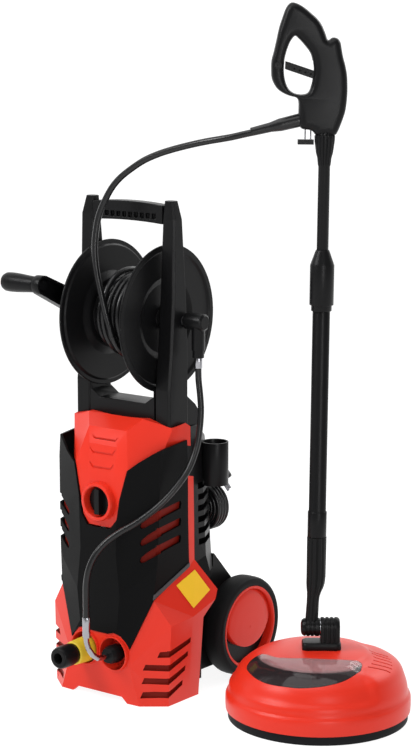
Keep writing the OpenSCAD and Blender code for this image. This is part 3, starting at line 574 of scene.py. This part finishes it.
def turned(name, profile, at, axis, mat, body):
    """Ring of a profile of (radius, distance along the axis) about an axis through a point."""
    count = 64
    z = Vector(axis).normalized()
    u = z.orthogonal().normalized()
    w = z.cross(u)
    verts, faces = [], []
    n = len(profile)
    for i in range(count):
        a = 2 * math.pi * i / count
        verts += [Vector(at) + z * h + (u * math.cos(a) + w * math.sin(a)) * r for r, h in profile]
        j = (i + 1) % count
        faces += [(i * n + k, i * n + k + 1, j * n + k + 1, j * n + k) for k in range(n - 1)]
        if profile[0] != profile[-1] and profile[0][0] > 0.01 and profile[-1][0] > 0.01:
            faces.append((i * n + n - 1, i * n, j * n, j * n + n - 1))
    obj = mesh(name, verts, faces, mat, body)
    bm = bmesh.new()
    bm.from_mesh(obj.data)
    bmesh.ops.remove_doubles(bm, verts=bm.verts, dist=0.00001)
    bmesh.ops.recalc_face_normals(bm, faces=bm.faces)
    bm.to_mesh(obj.data)
    bm.free()
    smoothed(obj, 30)
    return obj


for side, x in (("left", -PORT_X), ("right", PORT_X)):
    turned("port_recess_" + side, [(31.5, 149), (31.2, 153.5), (30.4, 155), (28.8, 155), (28, 154), (28, 121),
                                   (14, 121), (14, 118), (31, 118), (31.5, 120)], (x, 0, PORT_Z), FRONT, RED, "machine")
turned("knob_ring", [(31, 132), (34.2, 143), (34, 154), (32.6, 157.5), (31, 158.2), (28.6, 158.2), (27.2, 156.8),
                     (27, 154), (27, 135), (14, 135), (14, 132), (28, 131)], (0, 0, KNOB_Z), FRONT, RED, "machine")


def backing(name, points, faces):
    """A thin wall behind the openings of a moulding, in the red of a surface in shade."""
    settled(thickened(mesh(name, *mirrored(points, faces), SHADE_RED, "machine"), 2))


# Behind the cooling slots of the black panel, and behind the louvres of the lower shell.
backing("lower_shell_liner",
        {"a": (98, -124, 186), "b": (105, -112, 186), "c": (106, -52, 232), "d": (111, -52, 390), "e": (110, -117, 390),
         "f": (70, -134, 390), "g": (70, -140, 186)}, ["g a b e f", "b c d e"])
backing("louvre_liner",
        {"a": (66, -143, 4), "b": (86, -142, 4), "c": (119.5, -115.5, 4), "d": (119.5, -45, 4), "e": (66, -136, 108),
         "f": (84, -133, 108), "g": (121, -110, 108), "h": (121, -45, 108)}, ["a b f e", "b c g f", "c d h g"])

# Grey strip along the lower edge of the black panel.
strip = {"a": (103.8, -130.6, 187.2), "b": (116.4, -45, 231.4), "c": (116.4, -45.3, 239), "d": (105.2, -130.2, 197)}
bead = mesh("panel_strip", *mirrored(strip, ["a b c d"]), GREY, "machine")
eased(settled(thickened(bead, 1.6, 0.4, even=False)), 0.6)

# Plain yellow square on the shelf facet of the lower shell.
label = [(118, -33.4, 223.4), (134.8, -11.9, 185.3), (133, -56, 162), (112.1, -77.4, 203.7), (124.5, -44.9, 194.8)]
label = [Vector(q) + Vector((0.93, -0.21, 0.3)) * 0.8 for q in label]
tag = mesh("plain_label", label, [(0, 1, 4), (1, 2, 4), (2, 3, 4), (3, 0, 4)], STICKER, "machine")
settled(thickened(tag, 0.6, 0, even=False))


# ---------- surface cleaner ----------

HEAD = Vector((357, 1.4, 0))
HOOD_STEPS, STATIONS, HINGE_Z = 144, 26, 156
ACROSS, TOWARDS = Vector((0.7907, 0.6122, 0)), Vector((0.6122, -0.7907, 0))


def at_head(r, z, angle):
    a = math.radians(angle)
    return HEAD + TOWARDS * (r * math.cos(a)) + ACROSS * (r * math.sin(a)) + Vector((0, 0, z))


def resampled(line, count):
    """The same line with evenly spaced points."""
    line = [Vector(p) for p in line]
    steps = [(b - a).length for a, b in zip(line, line[1:])]
    out, total = [], sum(steps)
    for i in range(count):
        d = total * i / (count - 1)
        k = 0
        while k < len(steps) - 1 and d > steps[k]:
            d -= steps[k]
            k += 1
        out.append(line[k].lerp(line[k + 1], min(1, d / steps[k])))
    return out


rim = [(157, 16), (157.6, 24), (157.6, 32), (157.2, 40), (156, 43), (153.6, 45.2), (152.4, 47.5), (151.9, 53)]
plain = resampled([(151.3, 58), (149.8, 61.5), (145.5, 65), (143, 69), (141, 74), (138, 80), (132.5, 88), (124, 95.5),
                   (115, 102), (105, 107.5), (95, 111.5), (85, 114.3), (65, 117.5)], STATIONS)
hump = resampled([(151.3, 58), (150, 64), (148, 70), (146, 76), (142.5, 86), (137, 93), (129, 98), (119, 101.5),
                  (108, 104), (99, 106), (91, 109), (82, 114.5), (65, 117.5)], STATIONS)


def hood_profile(angle):
    """Points of (radius, height) from the rim to the middle; the shoulder swells on the side of the vent slots."""
    f = min(1, max(0, (angle - 32) / 9)) * min(1, max(0, (142 - angle) / 14))
    f = f * f * (3 - 2 * f)
    shoulder = [a.lerp(b, f) for a, b in zip(plain, hump)]
    return [Vector(p) for p in rim] + shoulder + [Vector((40, 119.3)), Vector((16.5, 120))]


def hood_height(r, angle):
    line = hood_profile(angle)
    for a, b in zip(line, line[1:]):
        if b.x <= r <= a.x:
            return a.y + (b.y - a.y) * (a.x - r) / max(1e-6, a.x - b.x)
    return 120


def hood_mesh(name, mat):
    verts, faces, n = [], [], len(rim) + STATIONS + 2
    for i in range(HOOD_STEPS):
        angle = 360 * i / HOOD_STEPS - 180
        verts += [at_head(p.x, p.y, angle) for p in hood_profile(angle)]
        j = (i + 1) % HOOD_STEPS
        faces += [(i * n + k, i * n + k + 1, j * n + k + 1, j * n + k) for k in range(n - 1)]
    return settled(thickened(mesh(name, verts, faces, mat, "machine"), 2.6))


# Outline of the window on the hood, as (radius, angle).
pane_edge = [(93, -83), (82, -62), (68, -42), (59, -25), (57, -5), (62, 18), (73, 38), (88, 51), (100, 43), (109, 35),
             (118, 22), (124, 10), (128.5, -4), (131.5, -20), (132.5, -39), (131, -55), (127.5, -71), (123, -79),
             (112, -84), (101, -85)]


def pane_cut(grow):
    """A prism through the hood along the window's outline, scaled about its middle."""
    ring = [at_head(r, hood_height(r, a), a) for r, a in pane_edge]
    ring = spline(ring[-2:] + ring + ring[:3], 5)[10:-10]
    middle = sum(ring, Vector()) / len(ring)
    return cutter([middle + (p - middle) * grow for p in ring], (0, 0, 1), 30, 45)


hood = hood_mesh("hood_skin", RED)
cuts = [pane_cut(1.0)]
for i in range(6):
    f = i / 5
    a0, a1, r0, r1 = 101 - 49 * f, 93 - 31 * f, 88 + 13 * f, 119 + 14 * f
    one, two = at_head(r0, hood_height(r0, a0), a0), at_head(r1, hood_height(r1, a1), a1)
    side = (two - one).cross(Vector((0, 0, 1))).normalized() * 1.7
    cuts.append(cutter([one - side, two - side, two + side, one + side], (0, 0, 1), 8, 2.3))
carve(hood, cuts)
smoothed(hood, 32, RED)
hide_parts("cleaner_hood")

pane = hood_mesh("hood_pane", WINDOW)
carve(pane, [pane_cut(0.992)], crossing=False, operation="INTERSECT")
smoothed(pane, 32, WINDOW)
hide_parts("cleaner_window")

turned("hood_boss", [(8.6, 60), (11.5, 60), (11.5, 98), (15, 101), (28, 104), (29, 107), (28.5, 112), (8.6, 112)],
       HEAD, (0, 0, 1), RED, "machine")
turned("splash_plate", [(24, 33), (24, 35), (138, 35), (140, 33)], HEAD, (0, 0, 1), BLACK, "machine")


# ---------- knuckle, lance and gun ----------


def by_hinge(x, y, z):
    return HEAD + ACROSS * x - TOWARDS * y + Vector((0, 0, z))


def on_lance(x, y, z):
    """A point in the lance's own frame: x across the picture plane of the gun, y through it, z up the tube."""
    a = math.radians(0.6)
    rise = z - HINGE_Z
    return by_hinge(-6 + x * math.cos(a) + rise * math.sin(a), y, HINGE_Z - x * math.sin(a) + rise * math.cos(a))


def stack(name, rings, mat, body, smooth=35):
    """Closed rings of the same count, joined in order and capped."""
    n = len(rings[0])
    verts = [p for ring in rings for p in ring]
    faces = [(k * n + i, k * n + (i + 1) % n, (k + 1) * n + (i + 1) % n, (k + 1) * n + i)
             for k in range(len(rings) - 1) for i in range(n)]
    faces += [list(range(n))[::-1], list(range(n * (len(rings) - 1), n * len(rings)))]
    return mesh(name, verts, faces, mat, body, smooth)


def rounded(x0, x1, y0, y1, r):
    """Outline of a rectangle with rounded corners."""
    out = []
    for cx, cy, start in ((x1 - r, y1 - r, 0), (x0 + r, y1 - r, 90), (x0 + r, y0 + r, 180), (x1 - r, y0 + r, 270)):
        for i in range(7):
            a = math.radians(start + 90 * i / 6)
            out.append((cx + r * math.cos(a), cy + r * math.sin(a)))
    return out


plate_steps = ((119, 0.6), (120, 0), (128, 0), (130.4, 0.8), (131.7, 2.2), (132, 4))
plate = stack("knuckle_plate", [[by_hinge(x, y, z) for x, y in rounded(-28 + t, 38 - t, -20 + t, 20 - t, 9)]
                                for z, t in plate_steps], BLACK, "machine")
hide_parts("cleaner_knuckle")
arches = []
for x, r in ((3, 14.5), (3.6, 16.4), (4.6, 17), (8.6, 17), (9.4, 15.4), (11.6, 15.4), (12.4, 17), (16.2, 17),
             (17, 15.4), (19.2, 15.4), (20, 17), (23.8, 17), (24.6, 15.4), (26.8, 15.4), (27.6, 17), (31, 16.8),
             (33.6, 15.8), (35.2, 14), (36, 11)):
    arch = [(-r * math.cos(math.pi * i / 20), HINGE_Z + r * math.sin(math.pi * i / 20)) for i in range(21)]
    arches.append([by_hinge(x, y, z) for y, z in [(-r, 131)] + arch + [(r, 131)]])
stack("knuckle_block", arches, BLACK, "machine", 30)
turned("knuckle_washer", [(6.2, 2.2), (15, 2.2), (15, 2.85), (6.2, 2.85)], by_hinge(0, 0, HINGE_Z),
       ACROSS, CHROME, "machine")


def fluted(name, stations, flutes, depth, mat, body):
    """Ribbed sleeve: stations of (centre, radius)."""
    shape = [1, 1, 1, 1 - depth * 0.25, 1 - depth, 1 - depth, 1 - depth * 0.25, 1]
    rings = []
    for middle, r in stations:
        ring = []
        for i in range(flutes * 8):
            a = 2 * math.pi * i / (flutes * 8)
            ring.append(middle + ACROSS * (r * shape[i % 8] * math.cos(a)) - TOWARDS * (r * shape[i % 8] * math.sin(a)))
        rings.append(ring)
    return stack(name, rings, mat, body, 50)


neck = [(by_hinge(x, 0, z), r) for x, z, r in
        ((-13.5, 150, 8.5), (-12.6, 160, 10), (-11.4, 175, 10.8), (-10.2, 198, 10.4), (-9.4, 209, 10.7),
         (-8.2, 217, 12), (-6.8, 225, 14.2))]
neck += [(on_lance(-0.6, 0, 233), 15.6), (on_lance(0, 0, 245), 16.1), (on_lance(0, 0, 313.5), 16.4)]
foot = fluted("lance_neck", neck, 10, 0.14, BLACK, "lance")
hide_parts("lance_foot")
turned("lance_eye", [(0, -30), (8, -30), (12, -28.7), (14.4, -26), (15.4, -22.6), (14.2, -22), (14.2, -20.6),
                     (15.6, -20), (15.6, -15.6), (14.2, -15), (14.2, -13.6), (15.6, -13), (15.6, -8.6), (14.2, -8),
                     (14.2, -6.6), (15.6, -6), (15.6, -1), (15, 1.6), (14, 2), (0, 2)], by_hinge(0, 0, HINGE_Z),
                     ACROSS, BLACK, "lance")
nut = ((934, 9.9), (937, 10.6), (947, 11.6), (956, 14), (974, 16.4), (980, 16.8), (983.6, 16.8), (984.4, 15.6),
       (990, 15.2))
fluted("gun_nut", [(on_lance(0, 0, z), r) for z, r in nut], 16, 0.1, BLACK, "lance")


def closed_spline(points, per):
    """A smooth closed line through the points of a flat outline."""
    p = [Vector((*q, 0)) for q in points]
    p = p[-2:] + p + p[:3]
    return [(q.x, q.y) for q in spline(p, per)[2 * per:-2 * per - 1]][:per * len(points)]


def inset(ring, amounts, inward):
    """The ring moved sideways: each point by its own amount."""
    n = len(ring)
    area = sum(ring[i][0] * ring[(i + 1) % n][1] - ring[(i + 1) % n][0] * ring[i][1] for i in range(n))
    sign = (1 if area > 0 else -1) * (1 if inward else -1)
    out = []
    for i in range(n):
        t = Vector((ring[(i + 2) % n][0] - ring[i - 2][0], ring[(i + 2) % n][1] - ring[i - 2][1])).normalized()
        out.append((ring[i][0] - t.y * amounts[i] * sign, ring[i][1] + t.x * amounts[i] * sign))
    return out


gun_edge = [(-58, 1196), (-66, 1188), (-72, 1172), (-77, 1156), (-81, 1137), (-85, 1118), (-88.5, 1104), (-89, 1090),
            (-87.5, 1074), (-80, 1060), (-70, 1052), (-58, 1047), (-48, 1044.5), (-44, 1038), (-43.6, 1020),
            (-43, 1003), (-38, 994.5), (-29, 993), (-21, 991), (-15, 984.5), (-8, 984), (0, 984), (9, 984), (17, 985),
            (22, 993), (28, 1009), (32, 1022), (34, 1036), (35, 1050), (35, 1062), (34, 1080), (31, 1096), (27, 1110),
            (24.5, 1122), (22, 1134), (17, 1140), (9, 1141), (2, 1137), (-3, 1149), (-9, 1162), (-16, 1171),
            (-24, 1178), (-35, 1187), (-47, 1194)]
gun_hole = [(-51, 1143), (-56, 1138), (-60, 1131), (-64, 1120), (-67, 1108), (-68.3, 1096), (-68, 1084),
            (-65.5, 1070), (-60, 1058.5), (-51, 1051.5), (-39, 1049.5), (-29.5, 1052), (-25, 1060), (-22.5, 1073),
            (-20.5, 1087), (-22, 1102), (-26, 1116), (-36, 1129), (-45, 1138.5)]
edge, hole = closed_spline(gun_edge, 3), closed_spline(gun_hole, 3)


def room(ring, other, most):
    """How much of the rounding each point of an outline can take before it meets the other outline."""
    return [min(1.0, 0.42 * min(math.dist(q, o) for o in other) / most) for q in ring]


edge_room, hole_room = room(edge, hole, 13), room(hole, edge, 13)
# Slices through the gun as (distance from its middle, how far drawn in); the groove at 0 is the seam of its halves.
layers = [(-16, 13), (-15.7, 9.5), (-14.7, 6.2), (-12.8, 3.4), (-10, 1.4), (-6.5, 0.3), (-3, 0), (-0.5, 0),
          (-0.2, 0.6), (0.2, 0.6), (0.5, 0)]
layers += [(-y, d) for y, d in layers[6::-1]]


def gun_outlines(d):
    return inset(edge, [d * f for f in edge_room], True), inset(hole, [d * f for f in hole_room], False)


verts = [on_lance(x, y, z) for y, d in layers for ring in gun_outlines(d) for x, z in ring]
n, m = len(edge), len(hole)
faces = []
for k in range(len(layers) - 1):
    a, b = k * (n + m), (k + 1) * (n + m)
    faces += [(a + i, a + (i + 1) % n, b + (i + 1) % n, b + i) for i in range(n)]
    faces += [(a + n + i, a + n + (i + 1) % m, b + n + (i + 1) % m, b + n + i) for i in range(m)]
for k in (0, len(layers) - 1):
    flat = [[Vector((x, z, 0)) for x, z in ring] for ring in gun_outlines(layers[k][1])]
    faces += [tuple(k * (n + m) + i for i in tri) for tri in tessellate_polygon(flat)]
gun = mesh("gun_shell", verts, faces, BLACK, "lance")


def rod(one, two, r, count=20):
    """A round cutter between two points."""
    axis = (Vector(two) - Vector(one)).normalized()
    u = axis.orthogonal().normalized()
    w = axis.cross(u)
    turns = [2 * math.pi * i / count for i in range(count)]
    ring = [(u * math.cos(a) + w * math.sin(a)) * r for a in turns]
    verts = [Vector(one) + q for q in ring] + [Vector(two) + q for q in ring]
    faces = [list(range(count))[::-1], list(range(count, 2 * count))]
    faces += [(i, (i + 1) % count, count + (i + 1) % count, count + i) for i in range(count)]
    return verts, faces


sleeve_way = [on_lance(-34 + 0.969 * d, 0, 1010 + 0.247 * d) for d in (-24, 26)]
pocket = [on_lance(x, 0, z) for x, z in ((-30, 1064), (-4, 1070), (-4, 1090), (-12, 1093), (-30, 1113))]
bores = [cutter(pocket, TOWARDS, 8.6, 8.6), rod(on_lance(-78, -20, 1096), on_lance(-78, 20, 1096), 6.1),
         rod(on_lance(0, 0, 980), on_lance(0, 0, 1052), 10.1, 32), rod(*sleeve_way, 11.1, 32),
         rod(on_lance(-32, 0, 980), on_lance(-32, 0, 1014), 1.3, 12),
         rod(on_lance(-23, 0, 980), on_lance(-23, 0, 1014), 1.3, 12)]
for one in bores:
    carve(gun, [one], crossing=False)
smoothed(gun, 42, BLACK)
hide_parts("gun_half_near", "gun_half_far")

web = [(-60, 1099), (-60, 1089), (-22, 1077), (-22, 1087)]
verts, faces = cutter([on_lance(x, 0, z) for x, z in web], TOWARDS, 1.2, 1.2)
mesh("trigger_web", verts, faces, BLACK, "trigger")

crank = turned("crank_barrel", [(5.15, -127), (12, -127), (13.4, -129), (14, -133), (14.8, -146), (16, -160),
                                (16.8, -174), (17, -186), (16.4, -194), (14, -199), (9, -201.6), (5.15, -202)],
               (0, -160.5, 716.5), (1, 0, 0), BLACK, "crank_handle")
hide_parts("crank_grip")

# ---------- CAD nodes ----------

# Width of the eased edges, where it is not 0.8 mm.
SOFT = {"upright_left": 5, "upright_right": 5, "top_grip": 1.5, "lower_crossbar": 3, "hose_sleeve": 0.4,
        "rim_left": 0.5, "rim_right": 0.5}
# The nodes that a piece above stands for.
REPLACED = {"lower_shell", "front_panel", "top_cover", "cleaner_hood", "cleaner_window", "cleaner_knuckle",
            "crank_grip", "lance_foot", "gun_half_near", "gun_half_far", "wound_hose", "free_hose",
            "connecting_hose", "cord_gland_tail", "cord_hank", "cord_plug_tail"}
slots = {part["node"]: part["material_slot"] for part in frame["record"]["subparts"]}


def finish_node(obj, mat, bevel):
    """A CAD node keeps its shape and gets its material, welded corners and eased edges."""
    obj.data.materials.clear()
    obj.data.materials.append(mat)
    obj.modifiers.new("weld", "WELD").merge_threshold = 0.00002
    eased(obj, bevel, 4 if bevel > 2 else 2, 28)


for name, obj in nodes.items():
    if name not in REPLACED:
        finish_node(obj, BY_SLOT[slots[name]], SOFT.get(name, 0.8))


def second(name, mat, where):
    """A node's faces that are of another material, picked by their place in the machine."""
    obj = nodes[name]
    obj.data.materials.append(mat)
    for face in obj.data.polygons:
        if where(((obj.matrix_world @ face.center) - SHIFT) * 1000):
            face.material_index = 1


for side in ("left", "right"):
    second("rim_" + side, BLACK, lambda p: 117 < abs(p.x) < 119)
second("hose_clip", BLACK, lambda p: p.z < 978)
second("mains_plug", STEEL, lambda p: (p - PLUG_FACE).dot(PLUG_AXIS) > 0.2)

# ---------- floor and backdrop ----------


def glowing(name, paint_name, shade, strength):
    """Makes the plane just added a white sheet that gives off light of its own."""
    sheet = bpy.context.object
    sheet.name = name
    paint = material(paint_name, (shade, shade, shade), 0.9, bump=0.0, tone=0.01, shine=0.0)
    shader = paint.node_tree.nodes["Principled BSDF"]
    shader.inputs["Emission Color"].default_value = (1, 1, 1, 1)
    shader.inputs["Emission Strength"].default_value = strength
    sheet.data.materials.append(paint)
    return sheet


bpy.ops.mesh.primitive_plane_add(size=120, location=(0, 0, -0.0005))
floor = glowing("floor", "floor_paint", 0.25, 0.9)
bpy.ops.mesh.primitive_plane_add(size=90, location=camera.location - back * 12, rotation=camera.rotation_euler)
backdrop = glowing("backdrop", "backdrop_paper", 0.2, 1.0)
